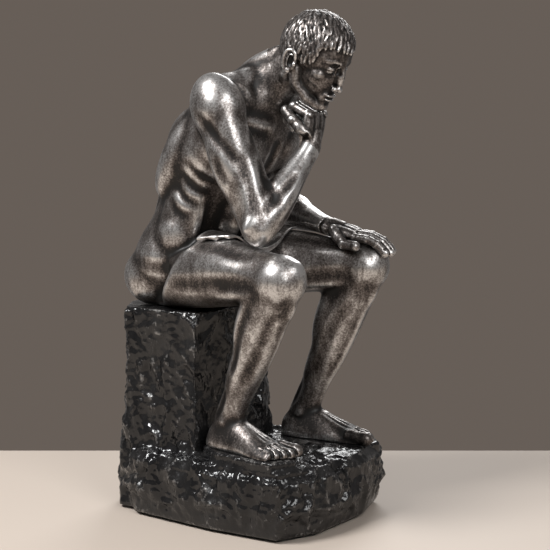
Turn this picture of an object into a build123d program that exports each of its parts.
from build123d import *

import os
from math import cos, pi, radians, sin

# A cast statuette of a seated man who rests his chin on his fist, on a rough block of rock.
# It is a cold-cast piece. The rock is hollow, weighted with a stone filling, closed by a
# plate and padded with felt. The body is cast in sections that steel dowels hold together.
# The man faces -Y, his right side is at -X and +Z is up.
# The origin is the centre of the flat underside of the felt.

# Base: felt, closing plate, rock and its filling, in millimetres
felt_thickness = 1.6
felt_inset = 3.0
plate_thickness = 2.4
plate_inset = 4.5
rock_wall = 9.0
base_half_width = 58.0
base_half_depth = 71.0
bulge_height = 15.0
ledge_edge = 6.0
seat_height = 118.0
seat_half_width = 42.0
seat_front = 0.0
seat_back = 70.0
step_margin = 5.0
chip_depth = 4.0

# Body: joints, lengths and radii, in millimetres
hip_rise = 21.0
hip_setback = 38.0
hip_half_spacing = 19.0
trunk_length = 106.0
chest_half_width = 39.5
chest_depth = 27.0
shoulder_half_spacing = 41.0
shoulder_cut = 34.0
shoulder_radius = 15.0
neck_rise = 9.0
neck_advance = 7.0
neck_reach = 38.0
neck_radius = 14.0
thigh_length = 94.0
thigh_radius = 20.0
knee_radius = 14.4
shin_length = 94.0
calf_radius = 13.0
ankle_height = 15.0
foot_length = 59.0
foot_half_width = 11.6
toe_radius = 2.9
arm_radius = 12.6
elbow_radius = 9.2
forearm_radius = 10.4
left_upper_arm_length = 70.0

# Head and hands, in millimetres
head_half_width = 17.0
head_half_depth = 21.0
crown_height = 19.0
chin_drop = 30.5
chin_advance = 14.5
hair_thickness = 1.4
ear_radius = 5.2
eye_radius = 3.0
palm_length = 19.5
palm_half_width = 9.8
palm_half_thickness = 4.0
finger_length = 20.0
finger_radius = 2.4
thumb_radius = 3.0
curl_depth = 11.0

# Cloth over the lap, in millimetres
cloth_thickness = 2.0
cloth_sag = 14.0
cloth_lift = 0.8

# Dowels, joints and cuts, in millimetres
neck_dowel_radius = 2.0
shoulder_dowel_radius = 2.5
hip_dowel_radius = 3.0
seat_dowel_radius = 3.0
foot_dowel_radius = 1.5
wrist_dowel_radius = 1.5
dowel_aspect_share = 3.2
dowel_fit = 0.05
touch = 0.3
overrun = 5.0

# Pose, in degrees
trunk_lean = 25.0
neck_pitch = 33.0
head_pitch = 26.0
right_splay = 17.0
left_splay = 13.0
right_thigh_rise = 2.0
left_thigh_rise = 1.0
right_shin_back = 30.0
left_shin_back = 24.0
right_shin_in = 9.0
left_shin_in = 5.0
toe_out = 9.0
groin_lean = 36.0
right_cut_turn = 45.0
right_cut_tilt = 5.0
left_cut_turn = 15.0
left_cut_tilt = 0.0
left_arm_back = 21.0
left_arm_out = 13.0
knuckle_back = 14.0
finger_over = 62.0
thumb_bend_back = 34.0
thumb_bend_in = 34.0
thumb_tip_back = 8.0
thumb_tip_in = 46.0

# Oval outlines have this many points
oval_points = 12

across = Vector(1, 0, 0)
forward = Vector(0, -1, 0)
upward = Vector(0, 0, 1)


# Helpers for places and forms


def pointing(out, rise):
    """A unit vector that points forward, turned out to his left and raised."""
    level = cos(radians(rise))
    return Vector(sin(radians(out)) * level, -cos(radians(out)) * level, sin(radians(rise)))


def hanging(out, back):
    """A unit vector that points down, leaning to his left and to the back."""
    return Vector(sin(radians(out)), sin(radians(back)), -1).normalized()


def section_plane(origin, direction, side=across):
    """A plane square to a direction, whose X axis lies as near to side as it can."""
    flat_side = side - direction * direction.dot(side)
    return Plane(origin=origin, x_dir=flat_side, z_dir=direction)


def oval(half_width, front, back):
    """Points of an oval with its own depth in front and behind."""
    points = []
    for index in range(oval_points):
        angle = 2 * pi * index / oval_points
        depth = front if sin(angle) >= 0 else back
        points.append((half_width * cos(angle), depth * sin(angle)))
    return points


def oval_loft(stations):
    """A smooth solid through ovals, each given as plane, half width, front and back depth."""
    with BuildPart() as form:
        for plane, half_width, front, back in stations:
            with BuildSketch(plane):
                with BuildLine():
                    Spline(*oval(half_width, front, back), periodic=True)
                make_face()
        loft()
    return form.part


def limb(start, end, radius, shares, side=across):
    """A limb along a bone. Each row of shares is the place along the bone, then the half
    width, front and back depth as shares of the radius."""
    bone = end - start
    stations = []
    for along, wide, front, back in shares:
        plane = section_plane(start + bone * along, bone.normalized(), side)
        stations.append((plane, radius * wide, radius * front, radius * back))
    return oval_loft(stations)


def ball(centre, radius):
    """A ball at a point."""
    return Location(centre) * Sphere(radius, mode=Mode.PRIVATE)


def egg(plane, half_x, half_y, half_z):
    """An egg shape with three half sizes along a plane's axes."""
    unit = Sphere(1, mode=Mode.PRIVATE)
    return plane.location * scale(unit, by=(half_x, half_y, half_z), mode=Mode.PRIVATE)


def rod(start, end, radius):
    """A round bar between two points."""
    bone = end - start
    with BuildPart() as bar:
        with BuildSketch(section_plane(start, bone.normalized(), upward + across)):
            Circle(radius)
        extrude(amount=bone.length)
    return bar.part


def dowel(plane, radius, grow=0):
    """A dowel centred on a joint's plane. Grow makes its hole."""
    half = radius * dowel_aspect_share + grow
    return rod(plane.origin - plane.z_dir * half, plane.origin + plane.z_dir * half, radius + grow)


def outline(shares, half_width, half_depth, centre_y=0, size_share=1):
    """Corner points of a rough outline given as shares of two half sizes."""
    return [
        (wide * half_width * size_share, centre_y + deep * half_depth * size_share)
        for wide, deep in shares
    ]


def rough_block(rows):
    """A block with flat broken faces through outlines, each given as height and points."""
    with BuildPart() as block:
        for height, points in rows:
            with BuildSketch(Plane.XY.offset(height)):
                Polygon(*points, align=None)
        loft(ruled=True)
    return block.part


# Joint points of the body

hip_centre = Vector(0, hip_setback, seat_height + hip_rise)
right_hip = hip_centre - across * hip_half_spacing
left_hip = hip_centre + across * hip_half_spacing
right_thigh_way = pointing(-right_splay, right_thigh_rise)
left_thigh_way = pointing(left_splay, left_thigh_rise)
right_knee = right_hip + right_thigh_way * thigh_length
left_knee = left_hip + left_thigh_way * thigh_length
right_ankle = right_knee + hanging(right_shin_in, right_shin_back) * shin_length
left_ankle = left_knee + hanging(-left_shin_in, left_shin_back) * shin_length
right_sole = right_ankle.Z - ankle_height
left_sole = left_ankle.Z - ankle_height

trunk_way = Vector(0, -sin(radians(trunk_lean)), cos(radians(trunk_lean)))
trunk_back = Vector(0, cos(radians(trunk_lean)), sin(radians(trunk_lean)))
shoulder_centre = hip_centre + trunk_way * trunk_length
right_shoulder = shoulder_centre - across * shoulder_half_spacing
left_shoulder = shoulder_centre + across * shoulder_half_spacing
neck_base = shoulder_centre + forward * neck_advance + upward * neck_rise
neck_way = Vector(0, -cos(radians(neck_pitch)), sin(radians(neck_pitch)))
head_centre = neck_base + neck_way * neck_reach

face_way = Vector(0, -cos(radians(head_pitch)), -sin(radians(head_pitch)))
crown_way = Vector(0, -sin(radians(head_pitch)), cos(radians(head_pitch)))


def head_point(side, ahead, up):
    """A point of the head, in the head's own tilted directions."""
    return head_centre + across * side + face_way * ahead + crown_way * up


# The groin's plane parts the trunk from the legs, from the lap's crease to the seat
crease = hip_centre + Vector(0, -thigh_radius * 1.45, thigh_radius * 1.12)
groin_way = Vector(0, -cos(radians(groin_lean)), -sin(radians(groin_lean)))
groin_plane = section_plane(crease, groin_way)

neck_shares = (
    # along the reach from the neck's base, half width, front, back
    (-0.02, 1.42, 1.0, 1.2),
    (0.18, 1.06, 1.04, 1.1),
    (0.36, 0.96, 1.0, 1.02),
)
neck_cut = neck_base + neck_way * neck_reach * neck_shares[-1][0]
neck_plane = section_plane(neck_cut, neck_way, -across)


# Forms of the legs

thigh_shares = (
    (-0.22, 1.1, 1.1, 1.1),
    (0.08, 1.1, 1.12, 1.1),
    (0.32, 1.02, 1.07, 1.0),
    (0.56, 0.92, 0.97, 0.86),
    (0.8, 0.77, 0.82, 0.72),
    (1.0, 0.66, 0.67, 0.64),
)
shin_shares = (
    (0.0, 1.0, 1.02, 1.0),
    (0.14, 0.95, 0.97, 1.06),
    (0.3, 0.98, 0.88, 1.2),
    (0.48, 0.88, 0.8, 1.02),
    (0.68, 0.68, 0.66, 0.72),
    (0.86, 0.54, 0.58, 0.62),
    (1.03, 0.6, 0.64, 0.72),
)
foot_shares = (
    # along the foot from the heel, half width of the foot's, height of the ankle's
    (0.0, 0.45, 0.62),
    (0.07, 0.72, 0.98),
    (0.22, 0.84, 1.3),
    (0.4, 0.84, 1.12),
    (0.58, 0.94, 0.78),
    (0.74, 1.0, 0.52),
    (0.86, 0.96, 0.38),
)
heel_share = 0.23
toe_place_shares = (0.74, 0.3, -0.06, -0.38, -0.66)
toe_reach_shares = (1.0, 0.985, 0.955, 0.915, 0.865)
toe_size_shares = (1.35, 1.0, 0.95, 0.9, 0.85)


def foot(ankle, out):
    """A bare foot on a flat sole. Out is positive for his left foot."""
    sole_height = ankle.Z - ankle_height
    way = pointing(out * toe_out, 0)
    side = Vector(-way.Y, way.X, 0)
    heel = Vector(ankle.X, ankle.Y, sole_height) - way * foot_length * heel_share
    stations = []
    for along, wide, high in foot_shares:
        plane = section_plane(heel + way * foot_length * along, way, side)
        sunk = foot_half_width * 0.3
        stations.append((plane, foot_half_width * wide, ankle_height * high, sunk))
    with BuildPart() as form:
        add(oval_loft(stations))
        for place, reach, size in zip(toe_place_shares, toe_reach_shares, toe_size_shares):
            radius = toe_radius * size
            inward = -side * out * foot_half_width * place
            tip = heel + way * (foot_length * reach - radius) + inward + upward * radius * 0.8
            root = heel + way * foot_length * 0.72 + inward * 0.9 + upward * radius * 1.1
            add(rod(root, tip, radius * 0.92))
            add(ball(tip, radius))
        split(bisect_by=Plane.XY.offset(sole_height), keep=Keep.TOP)
    return form.part


def leg(hip, knee, ankle, out):
    """A whole leg with its foot, cut where it meets the trunk and the seat."""
    shin_way = (ankle - knee).normalized()
    cap = knee + forward * knee_radius * 0.28 + upward * knee_radius * 0.1
    with BuildPart() as form:
        add(limb(hip, knee, thigh_radius, thigh_shares))
        add(limb(knee, ankle, calf_radius, shin_shares))
        add(ball(knee, knee_radius))
        kneecap = section_plane(cap, shin_way)
        add(egg(kneecap, knee_radius * 0.62, knee_radius * 0.74, knee_radius * 0.8))
        add(foot(ankle, out))
        for side in (-1, 1):
            knob = ankle + across * side * calf_radius * 0.4 + upward * calf_radius * 0.04 * side * out
            add(ball(knob, calf_radius * 0.27))
        split(bisect_by=groin_plane, keep=Keep.TOP)
        split(bisect_by=Plane.YZ, keep=Keep.TOP if out > 0 else Keep.BOTTOM)
    return form.part


# Forms of the rock

footprint_shares = (
    (-0.6, 1.0),
    (0.56, 0.98),
    (0.88, 0.74),
    (0.95, 0.12),
    (1.0, -0.5),
    (0.94, -0.86),
    (0.34, -1.0),
    (-0.5, -0.97),
    (-0.96, -0.8),
    (-1.0, -0.15),
    (-0.92, 0.66),
)
seat_shares = (
    (-1.0, 0.7),
    (-0.66, 1.0),
    (0.54, 0.96),
    (1.0, 0.62),
    (0.96, -0.66),
    (0.58, -1.0),
    (-0.3, -0.9),
    (-0.97, -0.74),
)
step_shares = (
    (-1.0, 0.35),
    (-0.45, 1.0),
    (0.6, 0.94),
    (1.0, 0.3),
    (0.9, -0.72),
    (0.2, -1.0),
    (-0.72, -0.84),
)
seat_size_shares = (1.05, 1.04, 0.95, 0.97)
# Broken corners of the seat: way around in degrees, lean in degrees, depth share
chip_shares = (
    (205, 34, 0.9),
    (243, 12, 0.55),
    (300, 26, 1.25),
    (338, 40, 0.7),
    (28, 30, 0.9),
    (118, 24, 0.8),
    (160, 42, 0.5),
)

rock_floor = felt_thickness
ledge_height = min(left_sole, right_sole)
foot_share = 0.93
seat_centre = (seat_back + seat_front) / 2
seat_half_depth = (seat_back - seat_front) / 2


def seat_rows(inset, low, high):
    """Outlines of the seat block between two heights, drawn in by an inset."""
    rows = []
    for height, size in zip((low, ledge_height, seat_height * 0.62, high), seat_size_shares):
        wide = seat_half_width * size - inset
        deep = seat_half_depth * size - inset
        rows.append((height, outline(seat_shares, wide, deep, seat_centre)))
    return rows


def footprint(size):
    """The outline of the base, drawn in or out by a share."""
    return outline(footprint_shares, base_half_width, base_half_depth, 0, size)


def step_points(ankle, out):
    """The outline of the raised stone that a foot stands on."""
    way = pointing(out * toe_out, 0)
    middle = Vector(ankle.X, ankle.Y, 0) + way * foot_length * (0.5 - heel_share)
    points = []
    for wide, deep in step_shares:
        side = Vector(-way.Y, way.X, 0) * wide * (foot_half_width + step_margin)
        corner = middle + side - way * deep * (foot_length / 2 + touch)
        points.append((corner.X, corner.Y))
    return points


def chip_plane(points, height, turn, lean, depth):
    """A plane that breaks off the corner which stands out furthest that way."""
    level = cos(radians(lean))
    way = Vector(cos(radians(turn)) * level, sin(radians(turn)) * level, sin(radians(lean)))
    furthest = max(way.dot(Vector(x, y, height)) for x, y in points)
    return Plane(origin=way * (furthest - depth), z_dir=way)


plate_top = rock_floor + plate_thickness
filling_rows = seat_rows(rock_wall, plate_top, seat_height - rock_wall)

with BuildPart() as seat_block:
    add(rough_block(seat_rows(0, rock_floor, seat_height)))
    seat_corners = seat_rows(0, rock_floor, seat_height)[-1][1]
    for turn, lean, depth in chip_shares:
        broken = chip_plane(seat_corners, seat_height, turn, lean, chip_depth * depth)
        split(bisect_by=broken, keep=Keep.BOTTOM)

with BuildPart() as closing_plate:
    with BuildSketch(Plane.XY.offset(rock_floor)):
        Polygon(*footprint(foot_share), align=None)
        offset(amount=-plate_inset)
    extrude(amount=plate_thickness)

with BuildPart() as felt_pad:
    with BuildSketch():
        Polygon(*footprint(foot_share), align=None)
        offset(amount=-felt_inset)
    extrude(amount=felt_thickness)

with BuildPart() as stone_filling:
    add(rough_block(filling_rows))

with BuildPart() as rock_base:
    add(
        rough_block(
            (
                (rock_floor, footprint(foot_share)),
                (rock_floor + bulge_height, footprint(1.0)),
                (ledge_height - ledge_edge, footprint(0.97)),
                (ledge_height, footprint(0.9)),
            )
        )
    )
    for ankle, out, sole in ((right_ankle, -1, right_sole), (left_ankle, 1, left_sole)):
        points = step_points(ankle, out)
        add(rough_block(((ledge_height - ledge_edge, points), (sole, points))))
    add(seat_block.part)
    add(closing_plate.part, mode=Mode.SUBTRACT)
    add(stone_filling.part, mode=Mode.SUBTRACT)


# Joints of the lower body


def thigh_cut(hip, thigh_way):
    """The plane square to a thigh where its bone passes through the groin's plane."""
    along = (crease - hip).dot(groin_way) / thigh_way.dot(groin_way)
    return section_plane(hip + thigh_way * along, thigh_way)


def seat_joint(side):
    """The plane of a dowel that pins the trunk to the seat."""
    height = seat_height + seat_dowel_radius * 0.6
    return Plane(origin=(side * hip_half_spacing, hip_setback + seat_dowel_radius * 4, height))


def foot_joint(ankle):
    """The plane of a dowel that pins a foot to the rock."""
    return Plane(origin=(ankle.X, ankle.Y, ankle.Z - ankle_height))


right_hip_joint = thigh_cut(right_hip, right_thigh_way)
left_hip_joint = thigh_cut(left_hip, left_thigh_way)
right_foot_joint = foot_joint(right_ankle)
left_foot_joint = foot_joint(left_ankle)
seat_joints = (seat_joint(-1), seat_joint(1))


# Legs

with BuildPart() as right_leg:
    add(leg(right_hip, right_knee, right_ankle, -1))
    add(rock_base.part, mode=Mode.SUBTRACT)
    add(dowel(right_hip_joint, hip_dowel_radius, dowel_fit), mode=Mode.SUBTRACT)
    add(dowel(right_foot_joint, foot_dowel_radius, dowel_fit), mode=Mode.SUBTRACT)

with BuildPart() as left_leg:
    add(leg(left_hip, left_knee, left_ankle, 1))
    add(rock_base.part, mode=Mode.SUBTRACT)
    add(dowel(left_hip_joint, hip_dowel_radius, dowel_fit), mode=Mode.SUBTRACT)
    add(dowel(left_foot_joint, foot_dowel_radius, dowel_fit), mode=Mode.SUBTRACT)

with BuildPart() as drilled_rock:
    add(rock_base.part)
    for joint in (right_foot_joint, left_foot_joint):
        add(dowel(joint, foot_dowel_radius, dowel_fit), mode=Mode.SUBTRACT)
    for joint in seat_joints:
        add(dowel(joint, seat_dowel_radius, dowel_fit), mode=Mode.SUBTRACT)


# Head, in its own tilted directions

head_shares = (
    # height as a share of the chin's drop or the crown's rise, then place ahead, half width,
    # front and back depth
    (-1.0, 0.64, 0.3, 0.16, 0.2),
    (-0.86, 0.5, 0.56, 0.36, 0.42),
    (-0.64, 0.26, 0.78, 0.62, 0.62),
    (-0.4, 0.12, 0.87, 0.8, 0.8),
    (-0.14, 0.02, 0.94, 0.92, 0.95),
    (0.2, -0.02, 1.0, 0.98, 1.02),
    (0.58, -0.05, 0.93, 0.9, 0.94),
    (0.84, -0.08, 0.72, 0.72, 0.74),
    (1.0, -0.1, 0.38, 0.4, 0.4),
)
eye_line = -chin_drop * 0.18
nose_base = -chin_drop * 0.52
mouth_line = -chin_drop * 0.68


def head_plane(origin, direction=crown_way):
    """A plane at a point of the head, with X to his right."""
    return section_plane(origin, direction, -across)


def face_place(side, ahead_share, up):
    """A plane of the head at a share of its half depth ahead of its centre."""
    return head_plane(head_point(side, head_half_depth * ahead_share, up))


head_stations = []
for up, ahead, wide, front, back in head_shares:
    height = up * (chin_drop if up < 0 else crown_height)
    plane = head_plane(head_point(0, ahead * head_half_depth, height))
    head_stations.append(
        (plane, head_half_width * wide, head_half_depth * front, head_half_depth * back)
    )
neck_top_shares = (neck_shares[-1], (0.58, 0.98, 0.96, 0.98), (0.82, 0.9, 0.8, 0.9))
hairline_way = (crown_way * 0.78 - face_way * 0.62).normalized()
hairline = Plane(origin=face_place(0, 0.86, crown_height * 0.62).origin, z_dir=hairline_way)

with BuildPart() as hair:
    add(
        egg(
            head_plane(head_centre),
            head_half_width + hair_thickness,
            head_half_depth + hair_thickness,
            crown_height + hair_thickness,
        )
    )
    split(bisect_by=hairline, keep=Keep.TOP)

nose_root = face_place(0, 0.84, eye_line + eye_radius * 0.6).origin
nose_tip = face_place(0, 1.14, nose_base + eye_radius * 0.55).origin
nose_shares = ((0, 0.5, 0.5, 0.9), (0.6, 0.66, 0.6, 1.5), (1.0, 0.7, 0.6, 1.6))

with BuildPart() as head:
    add(oval_loft(head_stations))
    add(limb(neck_base, head_centre, neck_radius, neck_top_shares, -across))
    add(hair.part)
    add(limb(nose_root, nose_tip, eye_radius, nose_shares))
    add(ball(nose_tip, eye_radius * 0.8))
    for side in (-1, 1):
        nostril = face_place(side * eye_radius * 0.75, 1.02, nose_base + eye_radius * 0.5)
        add(ball(nostril.origin, eye_radius * 0.62))
        brow = face_place(side * head_half_width * 0.4, 0.86, eye_line + eye_radius * 1.25)
        add(egg(brow, head_half_width * 0.36, eye_radius, eye_radius * 0.8))
        eye = face_place(side * head_half_width * 0.38, 0.76, eye_line)
        add(ball(eye.origin, eye_radius))
        cheek = face_place(side * head_half_width * 0.6, 0.52, nose_base + eye_radius * 1.6)
        add(egg(cheek, head_half_width * 0.3, head_half_depth * 0.28, eye_radius * 1.3))
        ear = face_place(side * head_half_width, -0.08, (eye_line + nose_base) / 2)
        add(egg(ear, ear_radius * 0.5, ear_radius * 0.8, ear_radius * 1.35))
    for height, size in ((mouth_line + eye_radius * 0.42, 1.0), (mouth_line - eye_radius * 0.45, 0.9)):
        add(egg(face_place(0, 0.86, height), eye_radius * 1.7 * size, eye_radius * 0.95, eye_radius * 0.5))
    add(ball(face_place(0, 0.68, -chin_drop * 0.86).origin, chin_drop * 0.14))
    split(bisect_by=neck_plane, keep=Keep.TOP)
    add(dowel(neck_plane, neck_dowel_radius, dowel_fit), mode=Mode.SUBTRACT)


# Right hand: a fist under the chin

chin_under = -chin_drop - touch - finger_radius
right_knuckles = head_point(0, chin_advance, chin_under)
right_wrist = right_knuckles - Vector(0.24, 0, 0.97) * palm_length
finger_spread = finger_radius * 2 + touch / 2
finger_length_shares = (0.94, 1.0, 0.97, 0.84)

right_elbow_seat = right_hip + right_thigh_way * thigh_length * 0.8
right_elbow = right_elbow_seat + upward * (thigh_radius * 0.84 + elbow_radius + touch)

upper_arm_shares = (
    (0.02, 0.98, 1.06, 1.06),
    (0.26, 0.98, 1.1, 1.08),
    (0.5, 0.93, 1.06, 1.04),
    (0.76, 0.8, 0.86, 0.88),
    (1.0, 0.72, 0.7, 0.72),
)
forearm_shares = (
    (0.0, 0.86, 0.86, 0.86),
    (0.2, 1.04, 1.0, 0.98),
    (0.42, 0.98, 0.9, 0.92),
    (0.7, 0.78, 0.7, 0.7),
    (0.88, 0.68, 0.56, 0.56),
    (1.0, 0.7, 0.52, 0.52),
)
palm_shares = ((0.3, 0.84, 0.96), (0.62, 0.96, 1.05), (0.9, 1.0, 0.96), (1.04, 0.94, 0.72))


def arm(shoulder, elbow, wrist):
    """An arm from its shoulder to its wrist."""
    upper_way = (elbow - shoulder).normalized()
    cap = section_plane(shoulder + upper_way * shoulder_radius * 0.2, upper_way)
    with BuildPart() as form:
        add(limb(shoulder, elbow, arm_radius, upper_arm_shares))
        add(limb(elbow, wrist, forearm_radius, forearm_shares))
        add(ball(elbow, elbow_radius))
        add(egg(cap, shoulder_radius * 0.92, shoulder_radius * 1.05, shoulder_radius * 1.35))
    return form.part


def palm(elbow, wrist, knuckles):
    """The flat of a hand, from the wrist's flat joint to the knuckles."""
    way = (knuckles - wrist).normalized()
    wrist_way = (wrist - elbow).normalized()
    _, wide, front, back = forearm_shares[-1]
    joint = section_plane(wrist, wrist_way)
    stations = [(joint, forearm_radius * wide, forearm_radius * front, forearm_radius * back)]
    for along, wide, thick in palm_shares:
        plane = section_plane(wrist + (knuckles - wrist) * along, way)
        half = palm_half_thickness * thick
        stations.append((plane, palm_half_width * wide, half, half))
    return oval_loft(stations)


def finger(path):
    """A finger that follows a bent path, with round ends."""
    with BuildPart() as form:
        with BuildSketch(Plane(origin=path @ 0, z_dir=path % 0)):
            Circle(finger_radius)
        sweep(path=path)
        add(ball(path @ 1, finger_radius))
        add(ball(path @ 0, finger_radius))
    return form.part


def thumb(root, bend, tip):
    """A thumb of two straight lengths, with round ends."""
    with BuildPart() as form:
        add(rod(root, bend, thumb_radius))
        add(rod(bend, tip, thumb_radius * 0.94))
        for point in (root, bend, tip):
            add(ball(point, thumb_radius))
    return form.part


def fist_path(side, share):
    """The centre line of a finger curled under the chin."""
    back = chin_advance - curl_depth * share
    low = chin_under - finger_length * 0.46 * share
    with BuildLine(Plane(origin=head_point(side, 0, 0), x_dir=face_way, z_dir=-across)) as line:
        FilletPolyline(
            (chin_advance, chin_under),
            (back, chin_under),
            (back, low),
            (back + curl_depth * 0.5, low - finger_radius),
            radius=finger_radius * 1.2,
        )
    return line.line


# Places round the left knee are given as an angle over it, from its top to the front,
# and an angle to the inner side
left_knee_side = left_thigh_way.cross(upward).normalized()
left_knee_up = left_knee_side.cross(left_thigh_way)
knee_hold = knee_radius * 1.05 + touch


def knee_point(radius, over, inward=0):
    """A point at a radius from the left knee's centre."""
    level = cos(radians(inward))
    return left_knee + radius * (
        left_thigh_way * sin(radians(over)) * level
        + left_knee_up * cos(radians(over)) * level
        + left_knee_side * sin(radians(inward))
    )


def knee_path(side, share):
    """The centre line of a finger laid over the left knee."""
    reach = ((knee_hold + finger_radius) ** 2 - side**2) ** 0.5
    start = knee_point(reach + finger_radius * 0.55, -knuckle_back)
    middle = knee_point(reach + finger_radius * 0.1, finger_over * share * 0.4)
    end = knee_point(reach, finger_over * share)
    shift = left_knee_side * -side
    with BuildLine() as line:
        ThreePointArc(start + shift, middle + shift, end + shift)
    return line.line


left_elbow = left_shoulder + hanging(left_arm_out, left_arm_back) * left_upper_arm_length
left_knuckles = knee_point(knee_hold + palm_half_thickness * 0.9, -knuckle_back)
left_wrist = left_hip + left_thigh_way * thigh_length * 0.76
left_wrist += left_knee_up * (thigh_radius * 0.86 + forearm_radius * forearm_shares[-1][3] + touch)


def joint_plane(start, end):
    """The plane of a joint at the end of a bone, square to the bone."""
    return section_plane(end, (end - start).normalized())


right_wrist_joint = joint_plane(right_elbow, right_wrist)
left_wrist_joint = joint_plane(left_elbow, left_wrist)


def shoulder_plane(out, turn, tilt):
    """The flat joint of an arm, turned to the front from the side and tilted down."""
    way = pointing(out * (90 - turn), -tilt)
    return Plane(origin=shoulder_centre + across * out * shoulder_cut, z_dir=way)


right_shoulder_joint = shoulder_plane(-1, right_cut_turn, right_cut_tilt)
left_shoulder_joint = shoulder_plane(1, left_cut_turn, left_cut_tilt)

right_thumb_root = right_wrist + (right_knuckles - right_wrist) * 0.46 - across * palm_half_width * 0.7
right_thumb_bend = head_point(
    -palm_half_width * 1.1, chin_advance - curl_depth * 0.5, chin_under - finger_length * 0.3
)
right_thumb_tip = head_point(
    -palm_half_width * 0.75, chin_advance - curl_depth * 1.25, chin_under - finger_length * 0.22
)

with BuildPart() as right_hand:
    add(palm(right_elbow, right_wrist, right_knuckles))
    for index, share in enumerate(finger_length_shares):
        add(finger(fist_path((index - 1.5) * finger_spread, share)))
    add(thumb(right_thumb_root, right_thumb_bend, right_thumb_tip))
    add(dowel(right_wrist_joint, wrist_dowel_radius, dowel_fit), mode=Mode.SUBTRACT)


# Left hand, laid over the knee

left_thumb_root = left_wrist + (left_knuckles - left_wrist) * 0.3 + left_knee_side * palm_half_width * 0.6
left_thumb_bend = knee_point(knee_hold + thumb_radius * 1.6, -thumb_bend_back, thumb_bend_in)
left_thumb_tip = knee_point(knee_hold + thumb_radius * 1.2, -thumb_tip_back, thumb_tip_in)

with BuildPart() as left_hand:
    add(palm(left_elbow, left_wrist, left_knuckles))
    for index, share in enumerate(finger_length_shares):
        add(finger(knee_path((index - 1.5) * finger_spread, share)))
    add(thumb(left_thumb_root, left_thumb_bend, left_thumb_tip))
    add(dowel(left_wrist_joint, wrist_dowel_radius, dowel_fit), mode=Mode.SUBTRACT)


# Trunk and arms

trunk_shares = (
    # along the trunk, back from it, lean in degrees, half width, front and back depth
    (-0.239, -0.09, 0, 0.98, 1.0, 1.0),
    (-0.008, 0.017, 5, 1.0, 1.0, 1.06),
    (0.212, 0.057, 14, 0.9, 0.92, 0.94),
    (0.394, 0.07, 22, 0.84, 0.86, 0.86),
    (0.593, 0.068, 28, 0.92, 0.94, 0.96),
    (0.79, 0.046, 33, 0.98, 1.0, 1.02),
    (0.95, 0.016, 42, 0.9, 0.88, 0.9),
    (1.075, -0.029, 52, 0.6, 0.66, 0.68),
    (1.15, -0.067, 57, 0.39, 0.56, 0.6),
)


def trunk_section(along, back, lean):
    """The plane of a section through the trunk, with Y to the front."""
    centre = hip_centre + trunk_way * trunk_length * along + trunk_back * trunk_length * back
    return Plane(origin=centre, x_dir=-across, z_dir=(0, -sin(radians(lean)), cos(radians(lean))))


def trunk_egg(section, wide, front, up, half_wide, half_deep, half_high):
    """A muscle on the trunk. Places and half sizes are shares of the chest's half sizes."""
    centre = section.origin + section.x_dir * wide * chest_half_width
    centre += section.y_dir * front * chest_depth + section.z_dir * up * chest_depth
    plane = Plane(origin=centre, x_dir=section.x_dir, z_dir=section.z_dir)
    return egg(plane, half_wide * chest_half_width, half_deep * chest_depth, half_high * chest_depth)


trunk_stations = []
for along, back, lean, wide, front, rear in trunk_shares:
    plane = trunk_section(along, back, lean)
    trunk_stations.append((plane, chest_half_width * wide, chest_depth * front, chest_depth * rear))
neck_half_sizes = [neck_radius * share for share in neck_shares[-1][1:]]
trunk_stations.append((neck_plane, *neck_half_sizes))
trunk_sections = [plane for plane, *_ in trunk_stations]

muscle_shares = (
    # section of the trunk, then across, front and up from it, half width, depth and height
    (5, 0.42, 0.66, 0.05, 0.42, 0.36, 0.55),
    (4, 0.48, -0.64, 0.4, 0.36, 0.32, 0.66),
    (1, 0.46, -0.42, -0.2, 0.52, 0.68, 0.66),
    (6, 0.56, -0.14, 0.2, 0.46, 0.55, 0.5),
    (3, 0.24, -0.72, 0.0, 0.19, 0.26, 1.37),
    (4, 0.72, -0.42, 0.0, 0.26, 0.36, 1.0),
    (2, 0.66, 0.2, 0.0, 0.34, 0.5, 0.6),
    (3, 0.22, 0.64, 0.0, 0.2, 0.28, 1.1),
)

hip_joints = (right_hip_joint, left_hip_joint)
shoulder_joints = (right_shoulder_joint, left_shoulder_joint)
wrist_joints = (right_wrist_joint, left_wrist_joint)
foot_joints = (right_foot_joint, left_foot_joint)

with BuildPart() as upper_body:
    add(oval_loft(trunk_stations))
    for row, wide, *rest in muscle_shares:
        for side in (-1, 1):
            add(trunk_egg(trunk_sections[row], side * wide, *rest))
    add(arm(right_shoulder, right_elbow, right_wrist))
    add(arm(left_shoulder, left_elbow, left_wrist))

with BuildPart() as right_arm:
    add(upper_body.part)
    split(bisect_by=right_shoulder_joint, keep=Keep.TOP)
    add(dowel(right_shoulder_joint, shoulder_dowel_radius, dowel_fit), mode=Mode.SUBTRACT)
    add(dowel(right_wrist_joint, wrist_dowel_radius, dowel_fit), mode=Mode.SUBTRACT)

with BuildPart() as left_arm:
    add(upper_body.part)
    split(bisect_by=left_shoulder_joint, keep=Keep.TOP)
    add(dowel(left_shoulder_joint, shoulder_dowel_radius, dowel_fit), mode=Mode.SUBTRACT)
    add(dowel(left_wrist_joint, wrist_dowel_radius, dowel_fit), mode=Mode.SUBTRACT)

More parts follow.
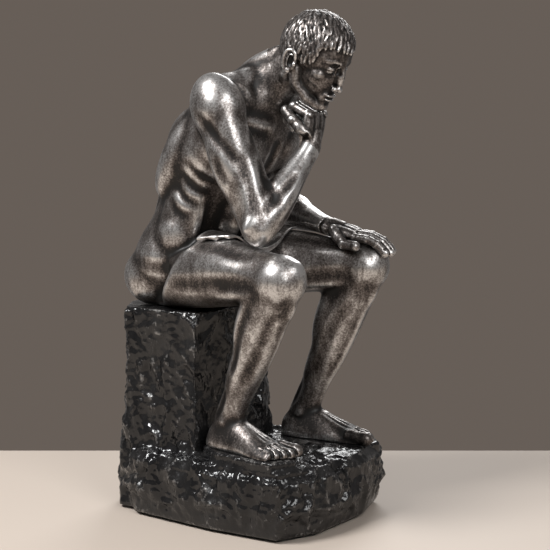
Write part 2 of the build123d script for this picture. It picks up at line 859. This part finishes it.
with BuildPart() as torso:
    add(upper_body.part)
    split(bisect_by=right_shoulder_joint, keep=Keep.BOTTOM)
    split(bisect_by=left_shoulder_joint, keep=Keep.BOTTOM)
    split(bisect_by=Plane.XY.offset(seat_height), keep=Keep.TOP)
    split(bisect_by=groin_plane, keep=Keep.BOTTOM)
    split(bisect_by=neck_plane, keep=Keep.BOTTOM)
    add(dowel(neck_plane, neck_dowel_radius, dowel_fit), mode=Mode.SUBTRACT)
    for joint in shoulder_joints:
        add(dowel(joint, shoulder_dowel_radius, dowel_fit), mode=Mode.SUBTRACT)
    for joint in hip_joints:
        add(dowel(joint, hip_dowel_radius, dowel_fit), mode=Mode.SUBTRACT)
    for joint in seat_joints:
        add(dowel(joint, seat_dowel_radius, dowel_fit), mode=Mode.SUBTRACT)


# Cloth over the lap

cloth_shares = (0.34, 0.45, 0.56)
# Angles over a thigh from its outer side to the lap, at each of those places
cloth_angles = ((-32, -12, 10, 32), (-20, -4, 14, 34), (-4, 8, 20, 34))


def share_at(shares, place, column):
    """A value between the rows of a table of shares."""
    for low, high in zip(shares, shares[1:]):
        if place <= high[0]:
            part = (place - low[0]) / (high[0] - low[0])
            return low[column] + (high[column] - low[column]) * part
    return shares[-1][column]


def drape(place, angles, lift):
    """Points across both thighs at a place along them, lifted off their skin."""
    sides = []
    for hip, way, turn in ((right_hip, right_thigh_way, 1), (left_hip, left_thigh_way, -1)):
        bone = hip + way * thigh_length * place
        wide = thigh_radius * share_at(thigh_shares, place, 1) / cos(radians(right_splay)) + lift
        high = thigh_radius * share_at(thigh_shares, place, 2) + lift
        points = []
        for angle in angles:
            across_bone = turn * sin(radians(angle)) * wide
            points.append((bone.X + across_bone, bone.Z + cos(radians(angle)) * high))
        sides.append(points)
    right_side, left_side = sides
    low = min(right_side[-1][1], left_side[-1][1]) - cloth_sag * place
    return right_side + [(0, low + lift)] + left_side[::-1]


with BuildPart() as lap_cloth:
    for place, angles in zip(cloth_shares, cloth_angles):
        under = drape(place, angles, cloth_lift)
        over = drape(place, angles, cloth_lift + cloth_thickness)
        depth = hip_setback - thigh_length * place * cos(radians(right_splay))
        with BuildSketch(Plane.XZ.offset(-depth)):
            with BuildLine():
                Spline(*under)
                Line(under[-1], over[-1])
                Spline(*over[::-1])
                Line(over[0], under[0])
            make_face()
    loft()


# Dowels

with BuildPart() as neck_dowel:
    add(dowel(neck_plane, neck_dowel_radius))

with BuildPart() as shoulder_dowels:
    for joint in shoulder_joints:
        add(dowel(joint, shoulder_dowel_radius))

with BuildPart() as hip_dowels:
    for joint in hip_joints:
        add(dowel(joint, hip_dowel_radius))

with BuildPart() as wrist_dowels:
    for joint in wrist_joints:
        add(dowel(joint, wrist_dowel_radius))

with BuildPart() as seat_dowels:
    for joint in seat_joints:
        add(dowel(joint, seat_dowel_radius))

with BuildPart() as foot_dowels:
    for joint in foot_joints:
        add(dowel(joint, foot_dowel_radius))


# Names and files

os.makedirs("parts", exist_ok=True)

drilled_rock.part.label = "rock_base"
stone_filling.part.label = "stone_filling"
closing_plate.part.label = "closing_plate"
felt_pad.part.label = "felt_pad"
torso.part.label = "torso"
head.part.label = "head"
right_arm.part.label = "right_arm"
left_arm.part.label = "left_arm"
right_hand.part.label = "right_hand"
left_hand.part.label = "left_hand"
right_leg.part.label = "right_leg"
left_leg.part.label = "left_leg"
lap_cloth.part.label = "lap_cloth"
neck_dowel.part.label = "neck_dowel"
shoulder_dowels.part.label = "shoulder_dowels"
hip_dowels.part.label = "hip_dowels"
wrist_dowels.part.label = "wrist_dowels"
seat_dowels.part.label = "seat_dowels"
foot_dowels.part.label = "foot_dowels"

export_step(drilled_rock.part, "parts/rock_base.step")
export_step(stone_filling.part, "parts/stone_filling.step")
export_step(closing_plate.part, "parts/closing_plate.step")
export_step(felt_pad.part, "parts/felt_pad.step")
export_step(torso.part, "parts/torso.step")
export_step(head.part, "parts/head.step")
export_step(right_arm.part, "parts/right_arm.step")
export_step(left_arm.part, "parts/left_arm.step")
export_step(right_hand.part, "parts/right_hand.step")
export_step(left_hand.part, "parts/left_hand.step")
export_step(right_leg.part, "parts/right_leg.step")
export_step(left_leg.part, "parts/left_leg.step")
export_step(lap_cloth.part, "parts/lap_cloth.step")
export_step(neck_dowel.part, "parts/neck_dowel.step")
export_step(shoulder_dowels.part, "parts/shoulder_dowels.step")
export_step(hip_dowels.part, "parts/hip_dowels.step")
export_step(wrist_dowels.part, "parts/wrist_dowels.step")
export_step(seat_dowels.part, "parts/seat_dowels.step")
export_step(foot_dowels.part, "parts/foot_dowels.step")
